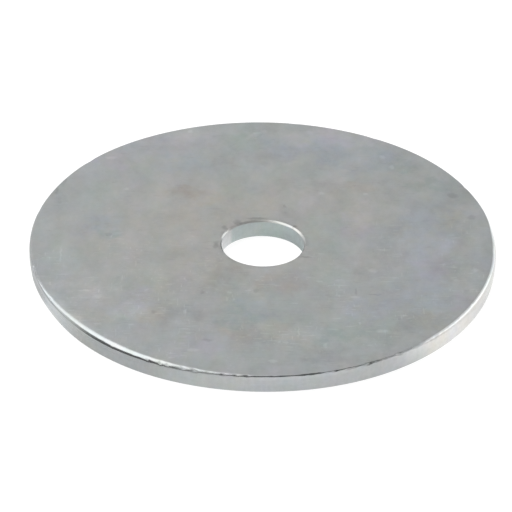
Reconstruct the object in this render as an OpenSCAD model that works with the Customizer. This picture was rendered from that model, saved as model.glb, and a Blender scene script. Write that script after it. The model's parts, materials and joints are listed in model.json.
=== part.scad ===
// Fender washer: a wide flat washer of zinc-plated steel sheet, pressed in one piece.
// One stroke of the press pierces the bore and blanks the rim. It leaves both cut edges
// with the same four parts, from the top down: a round roll-over, a bright sheared land,
// a broken wall that leans away from the land, and a lower edge dulled by tumbling.
// The washer lies on its lower face, with the bore's axis on Z. All sizes are millimetres.

/* [Washer] */
// Diameter over the rim's sheared land, 1-1/2 in
outer_d = 38.1; // [20:0.1:80]
// Diameter of the bore's sheared land, 17/64 in, a free fit on a 1/4 in bolt
bore_d = 6.75; // [3:0.05:16]
// Thickness of the sheet, 1/16 in with its plating
thickness = 1.6; // [1.2:0.01:4]

/* [Blanked rim] */
// Radius of the roll-over round the upper edge of the rim
rim_roll = 0.35; // [0.1:0.01:0.5]
// Height of the sheared land under the rim's roll-over
rim_land = 0.45; // [0.1:0.01:0.5]
// How far the broken wall draws in from the land to the lower face
rim_draw = 0.05; // [0.01:0.01:0.2]

/* [Pierced bore] */
// Radius of the roll-over round the upper edge of the bore
bore_roll = 0.12; // [0.05:0.01:0.3]
// Height of the sheared land under the bore's roll-over
bore_land = 0.7; // [0.1:0.01:0.75]
// How far the broken wall opens out from the land to the lower face
bore_flare = 0.06; // [0.01:0.01:0.2]

/* [Tumbling] */
// Width and height of the dulled lower edges
edge_break = 0.06; // [0.02:0.01:0.1]

/* [Hidden] */
// Segments in a full circle of the preview
$fn = 180;

rim_r = outer_d / 2;
bore_r = bore_d / 2;
// Heights where the sheared lands end and the broken walls begin
rim_land_foot = thickness - rim_roll - rim_land;
bore_land_foot = thickness - bore_roll - bore_land;
// Radii that the broken walls would reach at the lower face
rim_foot_r = rim_r - rim_draw;
bore_foot_r = bore_r + bore_flare;

// The point at height z on the straight line between the points upper and lower
function on_wall(upper, lower, z) =
    lower + (upper - lower) * (z - lower.y) / (upper.y - lower.y);

// One cut through the sheet, from the bore to the rim, with its upper corners still square
module sheared_section() {
    rim_break = [rim_r, rim_land_foot];
    bore_break = [bore_r, bore_land_foot];
    polygon([
        [bore_r, thickness],
        [rim_r, thickness],
        rim_break,
        on_wall(rim_break, [rim_foot_r, 0], edge_break),
        [rim_foot_r - edge_break, 0],
        [bore_foot_r + edge_break, 0],
        on_wall(bore_break, [bore_foot_r, 0], edge_break),
        bore_break
    ]);
}

// What a roll-over takes off a square corner at the origin whose metal lies at -X and -Y.
// The square reaches as far outside the corner as inside it, so that the cut runs clear.
module roll_over_waste(radius) {
    difference() {
        square(2 * radius, center = true);
        translate([-radius, -radius]) circle(radius);
    }
}

module edge_section() {
    difference() {
        sheared_section();
        translate([rim_r, thickness]) roll_over_waste(rim_roll);
        translate([bore_r, thickness]) mirror([1, 0]) roll_over_waste(bore_roll);
    }
}

module washer() {
    color([0.66, 0.67, 0.67]) rotate_extrude() edge_section();
}

washer();
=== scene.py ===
"""The looks of a zinc-plated fender washer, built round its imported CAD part.

Lengths are in metres unless a comment says otherwise, in the CAD part's own frame: the
bore's axis is Z, the washer lies on its lower face at Z 0, and X runs along the sheet's
rolling grain. Angles round the washer run from -Y towards +X.
"""

import json
import math

import bmesh
import bpy
from mathutils import Matrix, Vector, noise


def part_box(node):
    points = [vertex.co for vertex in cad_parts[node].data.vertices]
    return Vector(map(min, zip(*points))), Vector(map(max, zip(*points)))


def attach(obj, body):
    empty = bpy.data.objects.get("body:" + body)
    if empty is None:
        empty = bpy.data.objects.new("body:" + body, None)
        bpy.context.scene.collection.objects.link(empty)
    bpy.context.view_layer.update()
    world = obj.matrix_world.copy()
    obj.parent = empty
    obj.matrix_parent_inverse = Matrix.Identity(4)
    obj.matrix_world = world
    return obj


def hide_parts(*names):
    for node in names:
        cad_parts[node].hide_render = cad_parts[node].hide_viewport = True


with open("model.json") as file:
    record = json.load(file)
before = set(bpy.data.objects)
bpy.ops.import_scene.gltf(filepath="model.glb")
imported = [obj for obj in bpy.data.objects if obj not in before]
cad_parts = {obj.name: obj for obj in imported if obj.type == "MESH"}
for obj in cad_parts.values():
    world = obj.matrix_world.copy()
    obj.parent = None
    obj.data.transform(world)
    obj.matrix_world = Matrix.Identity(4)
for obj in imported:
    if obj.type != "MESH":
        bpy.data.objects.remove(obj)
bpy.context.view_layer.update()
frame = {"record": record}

MM = 0.001

# The camera. It looks along +Y and down onto the upper face through a long lens, and is
# turned a little about its own axis. The washer's place in the picture sets its aim.

PICTURE_SIZE = 512
UPPER_CENTRE_IN_PICTURE = Vector((262.8, 242.8))
RIM_RADIUS_IN_PICTURE = 233.2
CAMERA_DOWN = math.radians(33.1)
CAMERA_ROLL = math.radians(0.78)
CAMERA_RADII_AWAY = 17.3
CAMERA_NEAREST = 0.01
FILM_WIDTH_IN_MM = 36.0

low_corner, high_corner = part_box("washer")
rim_radius = high_corner.x
thickness = high_corner.z - low_corner.z
upper_centre = Vector((0, 0, thickness))

metres_per_pixel = rim_radius / RIM_RADIUS_IN_PICTURE
forward = Vector((0, math.cos(CAMERA_DOWN), -math.sin(CAMERA_DOWN)))
level_right = Vector((1, 0, 0))
level_up = level_right.cross(forward)
picture_right = level_right * math.cos(CAMERA_ROLL) + level_up * math.sin(CAMERA_ROLL)
picture_up = level_up * math.cos(CAMERA_ROLL) - level_right * math.sin(CAMERA_ROLL)
off_centre = (UPPER_CENTRE_IN_PICTURE - Vector((PICTURE_SIZE, PICTURE_SIZE)) / 2) * metres_per_pixel
aim = upper_centre - picture_right * off_centre.x + picture_up * off_centre.y
camera_distance = CAMERA_RADII_AWAY * rim_radius

camera_data = bpy.data.cameras.new("camera")
camera_data.sensor_width = FILM_WIDTH_IN_MM
camera_data.lens = camera_data.sensor_width * camera_distance / (PICTURE_SIZE * metres_per_pixel)
camera_data.clip_start = CAMERA_NEAREST
camera = bpy.data.objects.new("camera", camera_data)
bpy.context.scene.collection.objects.link(camera)
turned = Matrix((picture_right, picture_up, -forward)).transposed().to_4x4()
camera.matrix_world = Matrix.Translation(aim - forward * camera_distance) @ turned
bpy.context.scene.camera = camera

# The washer: one piece of steel sheet, blanked and pierced by a press in one stroke, then
# tumbled and zinc plated. Both upper edges are rolled over, more on one side of the rim as
# the punch sat off centre, and both walls have a sheared land above a rough broken part.

bore_radius = next(m["dims"]["r_mm"] for m in frame["record"]["mounts"] if m["name"] == "bore") * MM
# The cut edges: each roll-over's size, each land's foot above the lower face, how far the
# broken wall under it leans away from that land, and how much the lower edges are worn
RIM_ROLL_WIDTH = 0.21 * MM
RIM_ROLL_DEPTH = 0.25 * MM
# What the swell adds to the rim's roll-over, and where it is
RIM_SWELL_WIDTH = 0.27 * MM
RIM_SWELL_DEPTH = 0.21 * MM
RIM_SWELL_MIDDLE = math.radians(-47)
RIM_SWELL_REACH_LEFT = math.radians(16)
RIM_SWELL_REACH_RIGHT = math.radians(30)
# The part of a quarter turn that the swollen roll-over lacks, so that the land starts at a crease
RIM_SWELL_CREASE = 0.28
RIM_LAND_FOOT = 0.80 * MM
RIM_DRAW = 0.09 * MM
BORE_ROLL = 0.14 * MM
# The bevel's profile at the bore's upper edge, where 0.5 is round and 0.25 is flat
BORE_ROLL_PROFILE = 0.29
BORE_LAND_FOOT = 0.78 * MM
BORE_FLARE = 0.06 * MM
EDGE_BREAK = 0.08 * MM
# How far a wall's points may lie from its radius
WALL_REACH = 0.2 * MM
# How close together two places count as one, and two points become one
SAME_PLACE = 0.002 * MM
MERGE_REACH = 0.001 * MM
TURN_STEPS = 720
RIM_ROLL_STEPS = 12
BORE_ROLL_STEPS = 6
EDGE_BREAK_STEPS = 3
UPPER_FACE_CUTS = 40
LOWER_FACE_CUTS = 12
WALL_CUTS = 4
SHARP_FROM = math.radians(35)


def pick(kind, test):
    """In edit mode, selects the points or edges whose middle passes the test."""
    bpy.ops.mesh.select_mode(type=kind)
    bpy.ops.mesh.select_all(action="DESELECT")
    shape = bmesh.from_edit_mesh(bpy.context.object.data)
    for part in {"VERT": shape.verts, "EDGE": shape.edges}[kind]:
        corners = [part] if kind == "VERT" else part.verts
        middle = sum((corner.co for corner in corners), Vector()) / len(corners)
        part.select_set(test(middle))
    shape.select_flush_mode()
    bmesh.update_edit_mesh(bpy.context.object.data)


def near(value, target, reach=SAME_PLACE):
    """Whether two lengths are closer together than the reach."""
    return abs(value - target) < reach


# The section starts as an upright rectangle beside the bore's axis.
section_width = rim_radius - bore_radius
bpy.ops.object.select_all(action="DESELECT")
bpy.ops.mesh.primitive_plane_add(
    size=1, location=((rim_radius + bore_radius) / 2, 0, thickness / 2), rotation=(math.pi / 2, 0, 0)
)
washer = bpy.context.object
washer.name = "fender_washer"
washer.scale = (section_width, thickness, 1)
bpy.ops.object.transform_apply(location=True, rotation=True, scale=True)

# Its outline gets the lands, the leaning broken walls, the worn lower edges and the
# roll-overs, and then more points, for the unevenness that follows.
bpy.ops.object.mode_set(mode="EDIT")
bpy.ops.mesh.select_all(action="SELECT")
bpy.ops.mesh.delete(type="ONLY_FACE")
for wall, land_foot, lean in (
    (rim_radius, RIM_LAND_FOOT, -RIM_DRAW),
    (bore_radius, BORE_LAND_FOOT, BORE_FLARE),
):
    pick("EDGE", lambda p: near(p.x, wall))
    bpy.ops.mesh.subdivide(number_cuts=1)
    pick("VERT", lambda p: near(p.x, wall) and near(p.z, thickness / 2))
    bpy.ops.transform.translate(value=(0, 0, land_foot - thickness / 2))
    pick("VERT", lambda p: near(p.x, wall) and near(p.z, 0))
    bpy.ops.transform.translate(value=(lean, 0, 0))
pick("VERT", lambda p: near(p.z, 0))
bpy.ops.mesh.bevel(offset=EDGE_BREAK, segments=EDGE_BREAK_STEPS, affect="VERTICES")
pick("VERT", lambda p: near(p.x, bore_radius) and near(p.z, thickness))
bpy.ops.mesh.bevel(
    offset=BORE_ROLL, segments=BORE_ROLL_STEPS, profile=BORE_ROLL_PROFILE, affect="VERTICES"
)
pick("VERT", lambda p: near(p.x, rim_radius) and near(p.z, thickness))
bpy.ops.mesh.bevel(offset=RIM_ROLL_DEPTH, segments=RIM_ROLL_STEPS, affect="VERTICES")
roll_start = RIM_ROLL_DEPTH + SAME_PLACE
pick("VERT", lambda p: p.x > rim_radius - roll_start and p.z > thickness - roll_start)
bpy.ops.transform.resize(
    value=(RIM_ROLL_WIDTH / RIM_ROLL_DEPTH, 1, 1), center_override=(rim_radius, 0, thickness)
)
pick("EDGE", lambda p: near(p.z, thickness))
bpy.ops.mesh.subdivide(number_cuts=UPPER_FACE_CUTS)
pick("EDGE", lambda p: near(p.z, 0))
bpy.ops.mesh.subdivide(number_cuts=LOWER_FACE_CUTS)
for wall in (rim_radius, bore_radius):
    pick("EDGE", lambda p: near(p.x, wall, WALL_REACH) and EDGE_BREAK < p.z < thickness - RIM_ROLL_DEPTH)
    bpy.ops.mesh.subdivide(number_cuts=WALL_CUTS)
bpy.ops.object.mode_set(mode="OBJECT")

# The outline is turned round the bore's axis.
bpy.ops.object.modifier_add(type="SCREW")
turning = washer.modifiers[-1]
turning.axis = "Z"
turning.steps = turning.render_steps = TURN_STEPS
turning.use_merge_vertices = True
turning.merge_threshold = MERGE_REACH
bpy.ops.object.modifier_apply(modifier=turning.name)
bpy.ops.object.mode_set(mode="EDIT")
bpy.ops.mesh.select_all(action="SELECT")
bpy.ops.mesh.normals_make_consistent(inside=False)
bpy.ops.object.mode_set(mode="OBJECT")

# The roll-over's size round the rim, without the swell: an angle in degrees, and what its
# width and depth are multiplied by there.
ROLL_SIZES = (
    (-180, 0.4), (-105, 0.4), (-85, 1.0), (-20, 0.9), (-5, 0.65), (15, 0.65), (30, 1.0), (40, 1.1),
    (48, 1.5), (62, 1.8), (92, 1.8), (108, 0.5), (180, 0.4),
)
# Where the rim is out of round: the middle and reach of each bulge in degrees round the rim,
# and its height in millimetres, first at the upper edge and then at the lower one. A height
# below 0 is a dent.
BULGES = ((-134, 17, 0.13, 0.13), (134, 20, 0.15, 0.15), (-34, 20, 0.01, 0.10), (-65, 12, 0.0, -0.12))
# Each nick in the rim's upper edge: where it is round the rim in degrees, its half width
# along the rim and its depth, both in millimetres.
NICKS = (
    (-130, 0.4, 0.06), (-104, 0.3, 0.05), (-77, 0.4, 0.07), (-63, 0.3, 0.03), (-38, 0.2, 0.02),
    (-28, 0.1, 0.03), (-24.5, 0.15, 0.06), (-22.8, 0.12, 0.05), (-19, 0.12, 0.03), (-16, 0.2, 0.06),
    (-12.5, 0.1, 0.03), (-9, 0.15, 0.03), (-6, 0.12, 0.03), (-3.4, 0.15, 0.03), (12, 0.2, 0.02),
    (21, 0.15, 0.02), (30.5, 0.12, 0.02), (34.5, 0.15, 0.03), (40, 0.2, 0.02), (46, 0.3, 0.02),
    (63, 0.2, 0.03), (88, 0.5, 0.03), (118, 0.3, 0.05), (151, 0.4, 0.05), (172, 0.3, 0.04),
)
# Where that edge is ragged: the middle and reach in degrees, and the depth in millimetres.
RAGGED = ((26, 20, 0.08), (-17, 10, 0.05))
RAGGED_DEPTH_ELSEWHERE = 0.010 * MM
RAGGED_LENGTH = 0.45 * MM
RAGGED_FINER = 2.7
RAGGED_FINE_SHARE = 0.5
# How a cut in that edge runs down over the roll-over: how far into its course it is where the
# face ends, and what share of its depth the roll-over's foot drops.
CUT_COURSE_START = 0.15
CUT_FOOT_DROP = 0.8
BREAK_DEPTH = 0.012 * MM
BREAK_LENGTH = 0.35 * MM
# How much the land's rings of points crowd towards the roll-over, where 1 is evenly spaced
LAND_CROWDING = 1.6


def bell(value, middle, reach):
    """1 at the middle, about a third at the reach and next to nothing at twice the reach."""
    return math.exp(-(((value - middle) / reach) ** 2))


def between(value, table):
    """The size at this value, read from a table of places and sizes with a smooth change between."""
    for (start, start_size), (end, end_size) in zip(table, table[1:]):
        if value <= end:
            share = (value - start) / (end - start)
            return start_size + (end_size - start_size) * share * share * (3 - 2 * share)
    return table[-1][1]


def rolled(across, down, swell, size):
    """Moves a place on the even roll-over, given as shares of its width and depth, to the
    uneven one, and returns how far it then lies inside the rim and below the upper face."""
    turned_by = math.atan2(1 - across, 1 - down) * (1 - RIM_SWELL_CREASE * swell)
    turned_in_all = math.pi / 2 * (1 - RIM_SWELL_CREASE * swell)
    width = RIM_ROLL_WIDTH * size + RIM_SWELL_WIDTH * swell
    depth = RIM_ROLL_DEPTH * size + RIM_SWELL_DEPTH * swell
    return (
        width * (1 - math.sin(turned_by) / math.sin(turned_in_all)),
        depth * (1 - math.cos(turned_by)) / (1 - math.cos(turned_in_all)),
    )


face_start = bore_radius + BORE_ROLL
even_face_width = rim_radius - RIM_ROLL_WIDTH - face_start
shape = bmesh.new()
shape.from_mesh(washer.data)
for point in shape.verts:
    x, y, z = point.co
    radius = math.hypot(x, y)
    turn = math.atan2(x, -y)
    swell_reach = RIM_SWELL_REACH_LEFT if turn < RIM_SWELL_MIDDLE else RIM_SWELL_REACH_RIGHT
    swell = bell(turn, RIM_SWELL_MIDDLE, swell_reach)
    size = between(math.degrees(turn), ROLL_SIZES)
    roll_width, roll_depth = rolled(1, 0, swell, size)[0], rolled(0, 1, swell, size)[1]
    inside, below = rim_radius - radius, thickness - z
    at_rim, at_bore = inside < WALL_REACH, radius < bore_radius + WALL_REACH
    if inside < RIM_ROLL_WIDTH + SAME_PLACE and below < RIM_ROLL_DEPTH + SAME_PLACE:
        # On the roll-over, with its nicks and ragged stretches
        share = min(1.0, below / RIM_ROLL_DEPTH)
        inside, below = rolled(inside / RIM_ROLL_WIDTH, below / RIM_ROLL_DEPTH, swell, size)
        ragged = RAGGED_DEPTH_ELSEWHERE
        for middle, reach, ragged_depth in RAGGED:
            ragged += ragged_depth * MM * bell(math.degrees(turn), middle, reach)
        place = point.co / RAGGED_LENGTH
        roughness = noise.noise(place) + RAGGED_FINE_SHARE * noise.noise(place * RAGGED_FINER)
        cut = ragged * max(0.0, roughness)
        for nick_turn, half_width, nick_depth in NICKS:
            cut += nick_depth * MM * bell((turn - math.radians(nick_turn)) * rim_radius, 0, half_width * MM)
        inside += cut * math.sin(math.pi * min(1.0, CUT_COURSE_START + share))
        below += cut * CUT_FOOT_DROP * math.sin(math.pi / 2 * share)
    elif near(z, thickness):
        # On the upper face, which reaches out to where the roll-over starts
        face_width = rim_radius - roll_width - face_start
        inside = rim_radius - face_start - (radius - face_start) * face_width / even_face_width
        below = 0
    elif at_rim and z > RIM_LAND_FOOT:
        # On the rim's land, which reaches up to where the roll-over ends
        share = (z - RIM_LAND_FOOT) / (thickness - RIM_ROLL_DEPTH - RIM_LAND_FOOT)
        crowded = 1 - (1 - share) ** LAND_CROWDING
        below = thickness - RIM_LAND_FOOT - crowded * (thickness - roll_depth - RIM_LAND_FOOT)
    elif EDGE_BREAK / 2 < z < RIM_LAND_FOOT and (at_rim or at_bore):
        # On a broken wall, which is rough
        into_metal = -1 if at_rim else 1
        depth = BREAK_DEPTH * (0.5 + 0.5 * noise.noise(point.co / BREAK_LENGTH))
        inside -= into_metal * depth
    lowness = min(1.0, below / thickness)
    bulge = 0
    for middle, reach, upper_height, lower_height in BULGES:
        height = upper_height + (lower_height - upper_height) * lowness
        bulge += height * MM * bell(math.degrees(turn), middle, reach)
    new_radius = rim_radius - inside + bulge * max(0.0, 1 - inside / section_width)
    point.co = (x * new_radius / radius, y * new_radius / radius, thickness - below)
shape.to_mesh(washer.data)
shape.free()
bpy.ops.object.shade_smooth_by_angle(angle=SHARP_FROM)


class Shade:
    """A shader socket. Python's operators on it add the Math nodes that work them out."""

    def __init__(self, tree, socket=None):
        self.tree = tree
        self.socket = socket

    def node(self, kind, settings=None, inputs=None, output=0):
        """Adds a node with these settings and these values or links of its sockets, and gives
        the output of this name or number."""
        made = self.tree.nodes.new(kind)
        for name, value in (settings or {}).items():
            setattr(made, name, value)
        for name, value in (inputs or {}).items():
            if isinstance(value, Shade):
                self.tree.links.new(value.socket, made.inputs[name])
            else:
                made.inputs[name].default_value = value
        return Shade(self.tree, made.outputs[output] if made.outputs else None)

    def math(self, operation, *values):
        return self.node("ShaderNodeMath", {"operation": operation}, dict(enumerate(values)))

    def __add__(self, other):
        return self.math("ADD", self, other)

    def __sub__(self, other):
        return self.math("SUBTRACT", self, other)

    def __rsub__(self, other):
        return self.math("SUBTRACT", other, self)

    def __mul__(self, other):
        return self.math("MULTIPLY", self, other)

    def __truediv__(self, other):
        return self.math("DIVIDE", self, other)

    def __pow__(self, other):
        return self.math("POWER", self, other)

    __radd__ = __add__
    __rmul__ = __mul__

    def rise(self, start, end):
        """0 below start, 1 above end and a smooth change between. It falls where end is lower."""
        settings = {"interpolation_type": "SMOOTHSTEP"}
        return self.node("ShaderNodeMapRange", settings, {"Value": self, "From Min": start, "From Max": end})

    def split(self):
        """The X, Y and Z of this vector."""
        parts = self.tree.nodes.new("ShaderNodeSeparateXYZ")
        self.tree.links.new(self.socket, parts.inputs[0])
        return [Shade(self.tree, part) for part in parts.outputs]

    def noise(self, scale, detail=2.0, roughness=0.5, stretch=(1, 1, 1), shift=(0, 0, 0)):
        """Noise from 0 to 1 on these coordinates, finer where scale or stretch is larger."""
        placing = {"Vector": self, "Scale": stretch, "Location": shift}
        placed = self.node("ShaderNodeMapping", {"vector_type": "POINT"}, placing)
        inputs = {"Vector": placed, "Scale": scale, "Detail": detail, "Roughness": roughness}
        return self.node("ShaderNodeTexNoise", {"noise_dimensions": "3D"}, inputs)

    def swing(self, size):
        """Noise from 0 to 1, turned into a change of this size about 0."""
        return (self - 0.5) * size

    def blend(self, first, second, share):
        """The first colour, with that share of the second one over it."""
        settings = {"data_type": "RGBA", "clamp_factor": True}
        return self.node("ShaderNodeMix", settings, {0: share, 6: first, 7: second}, output=2)

    def mix(self, colour, share):
        """This colour, with that share of another colour over it."""
        return self.blend(self, colour, share)

    def choose(self, at_0, at_1):
        """One of two shaders, or a mix of them where this value is between 0 and 1."""
        return self.node("ShaderNodeMixShader", inputs={0: self, 1: at_0, 2: at_1})

    def scaled(self, factor):
        """This colour or vector times a number."""
        return self.node("ShaderNodeVectorMath", {"operation": "SCALE"}, {0: self, "Scale": factor})


def patches(across, along, places):
    """1 in the middle of each place and 0 past its edge. A place has x, y and two half sizes."""
    total = None
    for place_x, place_y, half_width, half_depth in places:
        dx = (across - place_x) / half_width
        dy = (along - place_y) / half_depth
        patch = (dx * dx + dy * dy).rise(1.0, 0.0)
        total = patch if total is None else total.math("MAXIMUM", total, patch)
    return total


# The plating's colours, and where its thin clear film tints the upper face. Places are in
# millimetres: x, y, half width and half depth.
ZINC_COOL = (0.367, 0.386, 0.389, 1)
ZINC_WARM = (0.388, 0.387, 0.376, 1)
WARM_PLACES = ((-4, 1, 14, 13), (4, 6, 9, 7))
BORE_FILM = (0.342, 0.381, 0.380, 1)
BLUE_FILM = (0.352, 0.386, 0.438, 1)
BLUE_PLACES = (
    (4, 15, 7, 2.2), (9, 12.9, 5.5, 2.2), (-7.2, 12.4, 2.6, 2.2), (-13.2, 2.4, 1.8, 2.8),
    (13.2, 1, 3.4, 6), (12.6, -7, 3.4, 4), (8.5, -9.5, 3, 2), (-0.6, -9.6, 2.2, 1.8),
)
VIOLET_FILM = (0.402, 0.383, 0.440, 1)
VIOLET_PLACES = (
    (-8, 15.2, 4, 2.2), (7, 16.5, 6, 1.8), (-12.5, 12.5, 2.5, 1.8), (13.9, -3, 2, 3.6),
    (7.4, 2.8, 1.4, 3), (-5, -15.5, 3, 2), (-10.2, -8.6, 2, 2.6), (16, -8.4, 1.2, 1.6),
)
GREEN_FILM = (0.352, 0.398, 0.378, 1)
GREEN_PLACES = (
    (-10.3, 10.4, 1.8, 1.8), (-13.4, 7.5, 1.6, 3), (3.2, 11, 3.4, 2.6), (5.3, 1.4, 3, 4.5),
    (-16, -2.4, 1.8, 3.6), (-9.6, -6, 2.2, 2), (5.4, -4.6, 2.2, 2), (-11.8, -11.3, 1.6, 1.6),
    (3, -11, 5, 3), (8, -13, 5, 4), (-1.5, -16.5, 4.5, 1.8), (0.4, -8.6, 6, 3), (11, -9.5, 3, 2.4),
    (16.4, 1.6, 1.6, 1.6), (-2.2, 9.5, 1.8, 4),
)
DARK_FILM = (0.290, 0.345, 0.325, 1)
DARK_PLACES = (
    (-1.7, 15.7, 2.3, 2.4), (14.4, 9.4, 2.5, 1.7), (-13, 1.3, 1.1, 1.1), (-2, -10.8, 2.2, 2.4),
    (6, -13.5, 3, 1.8), (11.5, 12.2, 2.6, 1.2),
)
TAN_FILM = (0.412, 0.402, 0.352, 1)
TAN_PLACES = (
    (-7.5, 2, 5.5, 5.5), (-4.5, -4.2, 3.6, 2.6), (-5, 6.8, 4, 2.4), (6.8, 6, 2, 4),
    (-13.8, -11, 2.4, 1.8), (13.6, -10.4, 2.4, 1.8), (-9, -8, 2.6, 4), (1, -12, 2.2, 1.2),
    (15.6, 4, 1.4, 2.6), (-0.5, 5.5, 2.6, 2.5),
)
BROWN_FILM = (0.408, 0.352, 0.285, 1)
BROWN_PLACES = (
    (-5.6, 7.7, 2.8, 1.4), (7.9, 9, 1.5, 1.5), (1, -5.9, 2.4, 2.4), (-8.4, -11, 1.8, 1.8),
    (-2.2, -13, 2, 1.4), (-4.4, 6.4, 1.2, 1.2), (2, -13.6, 2.2, 0.9),
)
PALE_FILM = (0.452, 0.455, 0.455, 1)
PALE_PLACES = (
    (-13.4, -8, 2.4, 2.2), (-15.2, -9.6, 2.6, 2.4), (-9.7, 15.4, 1.4, 1.2), (-0.6, 17.2, 1.1, 0.8),
    (-15.8, -7, 1.6, 1.6),
)
# Where the face is a little lighter or duller without a tint
LIGHT_PLACES = (
    (-7, 16.8, 4.2, 1.9), (6.4, 16.8, 7.5, 2.1), (3.2, 7, 3.2, 2.6), (9, 4.5, 3.4, 2.4),
    (13, 0, 2.8, 3.6), (16.4, -4.6, 1.6, 2), (-9, -4.2, 3.4, 1.8), (-11, -10.4, 2.4, 1.6),
    (6, 10.6, 2.4, 1.4), (3.6, -13.4, 2, 1.4),
)
DULL_PLACES = (
    (0.4, 13.4, 3.4, 1.5), (-6, 7.5, 2.2, 1.3), (-3.2, -4.8, 2.4, 1.8), (1.5, -6, 2.2, 3.2),
    (-6, -10.4, 3.6, 2), (13, -11, 3, 2), (5.4, -16.6, 5, 1.6), (16.4, 8, 1.8, 3),
    (-0.6, -13.8, 2.4, 1.6), (8.4, -4.6, 2, 1.6),
)
# Small marks on the face, some of them with painted glints, and painted shade along the bore's upper edge,
# where its roll-over mirrors dark surroundings
# Light flecks of scraped zinc, painted lighter still as the glints of small dings
LIGHT_FLECKS_AND_GLINTS = (
    (-6.3, 17.3, 0.30, 0.35), (-0.6, 17.2, 0.45, 0.22), (10.0, 13.6, 0.30, 0.40),
    (10.8, 12.0, 0.22, 0.50), (4.9, 7.7, 0.35, 0.28), (8.5, 7.7, 0.25, 0.25), (-2.6, -7.4, 0.35, 0.22),
    (-2.8, -8.3, 0.16, 0.35), (-9.3, -7.2, 0.25, 0.25), (-16.4, -2.2, 0.12, 1.5),
    (-13.2, -8.2, 0.55, 0.40), (-14.3, -7.4, 0.6, 0.2), (-12.9, 12.9, 0.6, 0.3), (-11.4, 8.0, 0.3, 0.3),
    (1.9, -14.4, 0.30, 0.2), (1.4, -14.4, 0.16, 0.2), (2.9, -12.9, 0.14, 1.1), (6.0, -10.9, 0.5, 0.16),
    (7.4, -7.8, 0.6, 0.2), (-5.4, -15.6, 0.7, 0.3), (-6.1, -10.2, 0.2, 0.5), (-10.4, -12.2, 0.3, 0.12),
    (4.6, -5.6, 0.35, 0.25), (9.6, -12.6, 0.7, 0.3), (8.9, -3.9, 0.5, 0.4), (0.9, -17.0, 0.5, 0.3),
    (5.0, -14.8, 0.25, 0.5), (17.2, -3.6, 0.3, 0.5),
)
DARK_SPECKS = (
    (15.8, 7.6, 0.6, 0.5), (17.2, 4.3, 0.5, 0.45), (-16.7, 9.2, 0.35, 1.1), (-17.2, 7.6, 0.2, 0.8),
    (-8.6, -10.3, 0.3, 0.3), (-4.8, -7.4, 0.25, 0.35), (-0.5, -7.1, 0.3, 0.35), (-12.6, 1.0, 0.4, 0.3),
    (9.0, -7.4, 0.6, 0.14), (7.5, -7.0, 0.12, 0.7), (1.8, 5.6, 0.2, 0.3), (-4.3, -14.2, 0.5, 0.3),
    (11.6, 16.0, 0.3, 0.2), (-9.6, 16.8, 0.3, 0.2),
)
BORE_EDGE_SHADE_PLACES = (
    (-0.5, 3.7, 1.0, 0.22), (-2.1, 3.1, 0.45, 0.40), (-3.1, 2.2, 0.30, 0.45), (-3.8, -0.4, 0.35, 0.7),
    (2.6, 2.5, 0.25, 0.25), (3.4, -2.0, 0.7, 0.14),
)

# The material works in millimetres.
upper_z = thickness / MM
rim = rim_radius / MM
bore = bore_radius / MM
zinc = bpy.data.materials.new("zinc_plating")
zinc.use_nodes = True
zinc.node_tree.nodes.clear()
start = Shade(zinc.node_tree)
on_part = start.node("ShaderNodeTexCoord", output="Object").scaled(1 / MM)
x, y, z = on_part.split()
radius = (x * x + y * y) ** 0.5

# Which surface a place is on. Each mask is 1 there and 0 elsewhere, and each zone says where
# its mask starts to rise and where it is 1.
FACE_ZONE = (upper_z - 0.03, upper_z - 0.01)
ROLL_ZONE = (upper_z - 0.8, upper_z - 0.7)
RIM_WALL_ZONE = (rim - 0.14, rim - 0.10)
BORE_WALL_ZONE = (bore + 0.12, bore + 0.08)
BORE_ZONE = (bore + 0.25, bore + 0.15)
BROKEN_ZONE = (0.90, 0.80)
# How far below the upper face the walls start, how much lower they start at the swell, and
# the height over which their mask rises
ROLL_FOOT = 0.10
SWELL_FOOT = 0.42
WALL_BLUR = 0.12
FOOT_LINE_WANDER = 0.12
face = z.rise(*FACE_ZONE)
swelling = x.rise(-4, -11) * y.rise(-3, -8)
roll_foot = upper_z - ROLL_FOOT - SWELL_FOOT * swelling
wall_height = z.rise(roll_foot, roll_foot - WALL_BLUR)
at_wall = (radius.rise(*RIM_WALL_ZONE) + radius.rise(*BORE_WALL_ZONE)) * wall_height
at_bore = radius.rise(*BORE_ZONE)
on_roll = (1 - face) * (1 - at_wall) * z.rise(*ROLL_ZONE)
foot_line = z + FOOT_LINE_WANDER * on_part.noise(1.3, 3.0)
broken = at_wall * foot_line.rise(*BROKEN_ZONE)

# The plating's colour. The outlines of its places wander, by half the drift at most.
DRIFT = 5.0
GRAIN_STRETCH = (1.3, 0.8, 1)
drift_x = x + on_part.noise(0.5, 4.0, 0.6).swing(DRIFT)
drift_y = y + on_part.noise(0.5, 4.0, 0.6, shift=(31, 7, 0)).swing(DRIFT)
blotch = on_part.noise(0.25, 2.0, 0.6, shift=(5, 3, 0))
blotch_fine = on_part.noise(0.35, 5.0, 0.75, stretch=(1.2, 0.8, 1), shift=(17, 9, 0))
warmth = 0.75 * patches(drift_x, drift_y, WARM_PLACES) + 0.3 * blotch
colour = start.blend(ZINC_COOL, ZINC_WARM, warmth)
# Each film is thicker and thinner within its places, by a noise of its own.
for film, places, amount in (
    (GREEN_FILM, GREEN_PLACES, 0.40),
    (TAN_FILM, TAN_PLACES, 0.36),
    (BLUE_FILM, BLUE_PLACES, 0.52),
    (VIOLET_FILM, VIOLET_PLACES, 0.44),
    (BROWN_FILM, BROWN_PLACES, 0.24),
    (DARK_FILM, DARK_PLACES, 0.50),
    (PALE_FILM, PALE_PLACES, 0.40),
):
    uneven = amount * on_part.noise(0.8, 3.0, 0.6, shift=(len(places), amount, 0)).rise(0.25, 0.60)
    colour = colour.mix(film, patches(drift_x, drift_y, places) * face * uneven)
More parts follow.
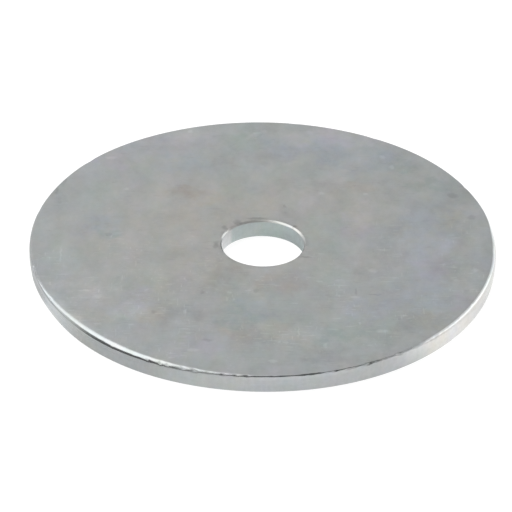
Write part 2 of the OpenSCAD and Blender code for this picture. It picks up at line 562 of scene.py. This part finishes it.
# The bore's wall is greener, and at its left end it is painted pale: a painted highlight where it mirrors
# the lamp. The rim's wall is warmer on the right.
BORE_LEFT_HIGHLIGHT = (-2.4, -2.75)
RIM_RIGHT_SIDE = (8, 15)
colour = colour.mix(BORE_FILM, at_bore * at_wall)
colour = colour.mix(PALE_FILM, at_bore * at_wall * x.rise(*BORE_LEFT_HIGHLIGHT))
colour = colour.mix(ZINC_WARM, at_wall * x.rise(*RIM_RIGHT_SIDE))
# Red and blue shift a little everywhere.
hue_red = 1 + on_part.noise(0.4, 5.0, 0.75, stretch=GRAIN_STRETCH, shift=(2, 41, 0)).swing(0.24)
hue_blue = 1 + on_part.noise(0.4, 5.0, 0.75, stretch=GRAIN_STRETCH, shift=(29, 4, 0)).swing(0.28)
hue = start.node("ShaderNodeCombineXYZ", inputs={0: hue_red, 1: 1.0, 2: hue_blue})
colour = start.node("ShaderNodeVectorMath", {"operation": "MULTIPLY"}, {0: colour, 1: hue})

# Marks on the plating, and some painted light. The small ones' outlines wander, by half the wobble at most.
# Scratches come in clusters, most of them on the near half.
WOBBLE = 0.50
# A painted highlight on the near left, where the rim's highlight spreads onto a worn flat of the face
RIM_HIGHLIGHT_PLACES = ((-15.4, -10.2, 4.5, 5.0),)
lighter = patches(drift_x, drift_y, LIGHT_PLACES) * face
duller = patches(drift_x, drift_y, DULL_PLACES) * face
wobble_x = x + on_part.noise(2.4, 3.0).swing(WOBBLE)
wobble_y = y + on_part.noise(2.4, 3.0, shift=(13, 0, 0)).swing(WOBBLE)
# scraped zinc and painted glints
fleck_and_glint = patches(wobble_x, wobble_y, LIGHT_FLECKS_AND_GLINTS) * face
speck = patches(wobble_x, wobble_y, DARK_SPECKS) * face
# painted shade along the bore's upper edge
bore_edge_shade = patches(wobble_x, wobble_y, BORE_EDGE_SHADE_PLACES) * z.rise(upper_z - 0.25, upper_z - 0.15)
bore_shade = radius.rise(bore + 0.55, bore + 0.15) * on_part.noise(0.9, 2.0).rise(0.35, 0.60) * face
# painted highlight near the rim on the near left
rim_highlight_spread = patches(x, y, RIM_HIGHLIGHT_PLACES) * radius.rise(rim - 1.1, rim - 0.3) * face
fine = on_part.noise(2.2, 4.0, 0.65, stretch=GRAIN_STRETCH, shift=(3, 21, 0))
streaks = on_part.noise(1.0, 3.0, 0.6, stretch=(0.5, 4.5, 1), shift=(0, 11, 0))
streaky = y.rise(4, -8) * face
clusters = on_part.noise(0.3, 2.0, shift=(40, 0, 0)).rise(0.40, 0.62) * face
along_grain = on_part.noise(1.4, 1.0, 0.5, stretch=(0.6, 3.4, 1), shift=(1, 7, 0)).rise(0.64, 0.71)
across_grain = on_part.noise(1.4, 1.0, 0.5, stretch=(3.6, 0.7, 1), shift=(6, 2, 0)).rise(0.67, 0.74)
dashes = (along_grain + across_grain) * y.rise(9, -3) * clusters
scuffs = on_part.noise(2.4, 2.0, 0.5, stretch=(1, 1.6, 1), shift=(8, 5, 0)).rise(0.64, 0.72)
scuffs = scuffs * y.rise(6, -6) * clusters
dark_dashes = on_part.noise(1.5, 1.5, 0.5, stretch=(0.6, 3, 1), shift=(5, 19, 0)).rise(0.35, 0.28) * face

# How light the face is, where 1 is the plating's own colour. It fades a little to the right: painted
# shading, lighter on the left where the room's glow falls.
tone = (
    1
    + blotch.swing(0.16)
    + blotch_fine.swing(0.50)
    + 0.08 * lighter
    - 0.08 * duller
    + fine.swing(0.06)
    + 0.12 * scuffs
    + 0.14 * dashes
    - 0.06 * dark_dashes
    + streaks.swing(0.08) * streaky
    # painted light: the face lighter on the left and darker on the right
    - 0.0018 * x * face
    + 0.20 * rim_highlight_spread
    + 0.14 * fleck_and_glint
    - 0.13 * speck
    - 0.23 * bore_edge_shade
    - 0.12 * bore_shade
)
# How light the walls are. They are streaked from top to bottom, and the rim's has a painted highlight just
# below the roll-over in front. The roll-over itself is bright at the right end: partly rubbed bright, partly
# a painted highlight where it mirrors the lamp.
WALL_TONE = 1.05
# The right end of the roll-over: rubbed bright, and painted brighter as the lamp's highlight
RUBBED_AND_HIGHLIGHT_TONE = 0.6
RUBBED_AND_HIGHLIGHT_END = (11.5, 14)
striae = on_part.noise(1.0, 3.0, 0.6, stretch=(4.5, 4.5, 0.5))
# painted highlight along the top of the rim's land in front
land_top_highlight = z.rise(upper_z - 0.50, upper_z - 0.34) * x.rise(-2.5, -0.5) * x.rise(9, 7) * (1 - at_bore)
wall_tone = (
    WALL_TONE
    + striae.swing(0.18)
    + fine.swing(0.24)
    # The broken part is lighter in patches: a painted lift of light, which offsets the shade it mirrors from
    # the table near its foot
    + (0.03 + 0.16 * on_part.noise(1.1, 3.0, shift=(2, 2, 2))) * broken
    + 0.08 * land_top_highlight
)
rubbed_and_highlight = on_roll * x.rise(*RUBBED_AND_HIGHLIGHT_END)
tone = (tone + (wall_tone - tone) * at_wall) * (1 + RUBBED_AND_HIGHLIGHT_TONE * rubbed_and_highlight)

# How rough each surface is. The roll-overs are the smoothest, though not all the way round.
FACE_ROUGHNESS = 0.36
WALL_ROUGHNESS = 0.38
ROLL_ROUGHNESS = 0.14
face_roughness = FACE_ROUGHNESS + blotch_fine.swing(0.10) + fine.swing(0.08)
wall_roughness = WALL_ROUGHNESS + 0.16 * broken + striae.swing(0.10)
bore_roll_roughness = 0.36 * x.rise(1.5, -0.5) * x.rise(-3.0, -2.6) + 0.26 * x.rise(2.8, 3.2)
roll_roughness = (
    ROLL_ROUGHNESS
    + 0.22 * x.rise(9, 14)
    + 0.12 * x.rise(-9, -7) * x.rise(-1, -3)
    + at_bore * bore_roll_roughness
)
roughness = face_roughness + (roll_roughness - face_roughness) * on_roll
roughness = roughness + (wall_roughness - roughness) * at_wall

# The relief that is too fine for the mesh, in millimetres
height = (
    0.0012 * fine
    + 0.0010 * streaks * streaky
    + 0.0018 * striae * at_wall
    + 0.0040 * on_part.noise(3.5, 3.0, 0.6) * broken
)
bump = start.node("ShaderNodeBump", inputs={"Height": height, "Distance": MM, "Strength": 1.0})
metal = start.node(
    "ShaderNodeBsdfPrincipled",
    inputs={"Metallic": 1.0, "Roughness": roughness, "Base Color": colour.scaled(tone), "Normal": bump},
)
start.node("ShaderNodeOutputMaterial", inputs={"Surface": metal})
washer.data.materials.append(zinc)

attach(washer, "root")
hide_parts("washer")

# The studio: a white table that runs out of the picture, a low soft lamp on the right, and a
# pale room that glows high on the left and is dark behind the camera. The table lies a hair
# below the washer, glows unevenly in the metal, and is clear from below.

TABLE_SIZE = 4.0
TABLE_CUTS = 8
TABLE_GAP = 0.01 * MM
TABLE_WHITE = 0.92
# The table's light where the camera sees it: its own glow, and the part that shadows darken
TABLE_GLOW = 0.86
TABLE_LIT = 0.24
# Its light where the metal mirrors it: in general, and in the middle of the bore
TABLE_MIRRORED = 0.97
BORE_MIRRORED = 1.18
BORE_FALL_TO_RIGHT = 0.35
BORE_LEFT_GAIN = 0.1
# What it gains on the left, and its steps from the front to the right: each has the gain, and
# the angles in radians round the washer where it starts and is full.
LEFT_POOL = 0.38
LEFT_POOL_FRONT = (-0.82, -1.12)
LEFT_POOL_BACK = (-1.27, -1.14)
RIGHT_POOL_STEPS = ((0.22, -0.6, -0.25), (0.75, 0.55, 0.92), (-0.30, 0.97, 1.25))
RIGHT_POOL_BACK = (3.0, 1.9)

bpy.ops.object.select_all(action="DESELECT")
bpy.ops.mesh.primitive_grid_add(
    x_subdivisions=TABLE_CUTS, y_subdivisions=TABLE_CUTS, size=TABLE_SIZE, location=(0, 0, -TABLE_GAP)
)
bpy.ops.object.transform_apply(location=True, rotation=False, scale=False)
table = bpy.context.object
table.name = "table"
paper = bpy.data.materials.new("white_paper")
paper.use_nodes = True
paper.cycles.emission_sampling = "NONE"
paper.node_tree.nodes.clear()
start = Shade(paper.node_tree)
camera_ray, glossy_ray, through_ray = (
    start.node("ShaderNodeLightPath", output=name)
    for name in ("Is Camera Ray", "Is Glossy Ray", "Is Transmission Ray")
)
seen = start.math("MINIMUM", camera_ray + glossy_ray + through_ray, 1.0)
table_x, table_y = start.node("ShaderNodeTexCoord", output="Object").split()[:2]

# The light that the metal mirrors. It varies round the washer, evens out behind it and under
# it, and in the bore it falls from left to right.
turn = start.math("ARCTAN2", table_x, table_y * -1)
left_pool = LEFT_POOL * turn.rise(*LEFT_POOL_FRONT) * turn.rise(*LEFT_POOL_BACK)
right_pool = sum(gain * turn.rise(first, last) for gain, first, last in RIGHT_POOL_STEPS)
pool = TABLE_MIRRORED + left_pool + right_pool * turn.rise(*RIGHT_POOL_BACK)
squared_distance = table_x * table_x + table_y * table_y
under_washer = squared_distance.rise((0.99 * rim_radius) ** 2, (0.95 * rim_radius) ** 2)
pool = pool + (TABLE_MIRRORED - pool) * under_washer
in_bore = squared_distance.rise((1.3 * bore_radius) ** 2, (1.1 * bore_radius) ** 2)
across = table_x / bore_radius
bore_pool = BORE_MIRRORED - BORE_FALL_TO_RIGHT * across + BORE_LEFT_GAIN * across.rise(-0.5, -0.7)
pool = pool + (bore_pool - pool) * in_bore

lit = start.node("ShaderNodeBsdfDiffuse", inputs={"Color": (TABLE_WHITE, TABLE_WHITE, TABLE_WHITE, 1)})
faint = start.node("ShaderNodeBsdfDiffuse", inputs={"Color": (TABLE_LIT, TABLE_LIT, TABLE_LIT, 1)})
glow_strength = TABLE_GLOW + (pool - TABLE_LIT - TABLE_GLOW) * glossy_ray
glow = start.node("ShaderNodeEmission", inputs={"Color": (1, 1, 1, 1), "Strength": glow_strength})
shown = start.node("ShaderNodeAddShader", inputs={0: faint, 1: glow})
above = seen.choose(lit, shown)
from_below = start.node("ShaderNodeNewGeometry", output="Backfacing")
clear = start.node("ShaderNodeBsdfTransparent")
surface = from_below.choose(above, clear)
start.node("ShaderNodeOutputMaterial", inputs={"Surface": surface})
table.data.materials.append(paper)

# The lamp faces the washer, and the camera doesn't see it.
LAMP_AWAY = 1.0
LAMP_TURN = math.radians(110)
LAMP_LIFT = math.radians(10)
LAMP_WIDTH = 0.8
LAMP_HEIGHT = 0.55
LAMP_RADIANCE = 1.5

lamp_data = bpy.data.lights.new("right_strip", "AREA")
lamp_data.shape = "RECTANGLE"
lamp_data.size = LAMP_WIDTH
lamp_data.size_y = LAMP_HEIGHT
lamp_data.energy = LAMP_RADIANCE * math.pi * LAMP_WIDTH * LAMP_HEIGHT
lamp = bpy.data.objects.new("right_strip", lamp_data)
lamp_level, lamp_up = math.cos(LAMP_LIFT), math.sin(LAMP_LIFT)
towards_lamp = Vector((math.sin(LAMP_TURN) * lamp_level, -math.cos(LAMP_TURN) * lamp_level, lamp_up))
lamp.location = towards_lamp * LAMP_AWAY
lamp.rotation_euler = towards_lamp.to_track_quat("Z", "Y").to_euler()
lamp.visible_camera = False
bpy.context.scene.collection.objects.link(lamp)

# The room is white to the camera. In the metal it is pale, with a glow high on the left, a
# brighter wall on the left, and a dark part behind the camera.
ROOM_LIGHT = 0.85
ROOM_DARK = 0.22
LEFT_SIDE_LIGHT = 0.10
LEFT_GLOW_TOWARDS = (-0.667, -0.058, 0.743)
LEFT_GLOW_LIGHT = 1.0
LEFT_GLOW_SPILL = 0.45
LEFT_WALL_LIGHT = 1.5
# The dark part's top and foot, as the upward share of the direction, and their blurs
DARK_TOP = 0.45
DARK_FOOT = -0.2
DARK_TOP_BLUR = 0.05
DARK_FOOT_BLUR = 0.04

room = bpy.data.worlds.new("room")
room.use_nodes = True
room.cycles.sampling_method = "NONE"
room.node_tree.nodes.clear()
bpy.context.scene.world = room
start = Shade(room.node_tree)
direction = start.node("ShaderNodeTexCoord", output="Generated")
x, y, z = direction.split()
towards_glow = start.node(
    "ShaderNodeVectorMath",
    {"operation": "DOT_PRODUCT"},
    {0: direction, 1: LEFT_GLOW_TOWARDS},
    output="Value",
)
spill = LEFT_GLOW_SPILL * towards_glow.rise(0.35, 0.75) * y.rise(0.6, 0.2) * x.rise(0.05, -0.3)
left_glow = LEFT_GLOW_LIGHT * towards_glow.rise(0.82, 0.96) + spill
left_wall = LEFT_WALL_LIGHT * x.rise(0.15, -0.85) * y.rise(-0.4, 0.1) * y.rise(0.65, 0.47)
left_side = LEFT_SIDE_LIGHT * x.rise(0.2, -0.1)
room_light = ROOM_LIGHT + left_side + start.math("MAXIMUM", left_glow, left_wall)
dark_top = DARK_TOP + 0.37 * x.rise(-0.45, 0.2) - 0.20 * y.rise(-0.1, 0.4)
dark_foot = DARK_FOOT + 0.28 * x.rise(-0.4, -0.1) + 0.25 * x.rise(0.35, 0.6)
dark = (
    z.rise(dark_top + DARK_TOP_BLUR, dark_top - DARK_TOP_BLUR)
    * z.rise(dark_foot - DARK_FOOT_BLUR, dark_foot + DARK_FOOT_BLUR)
    * y.rise(0.5, -0.2)
    * x.rise(0.8, 0.55)
)
level = room_light - (room_light - ROOM_DARK) * dark
camera_ray = start.node("ShaderNodeLightPath", output="Is Camera Ray")
strength = level + (1 - level) * camera_ray
background = start.node("ShaderNodeBackground", inputs={"Color": (1, 1, 1, 1), "Strength": strength})
start.node("ShaderNodeOutputWorld", inputs={"Surface": background})

bpy.context.scene.view_settings.view_transform = "Standard"
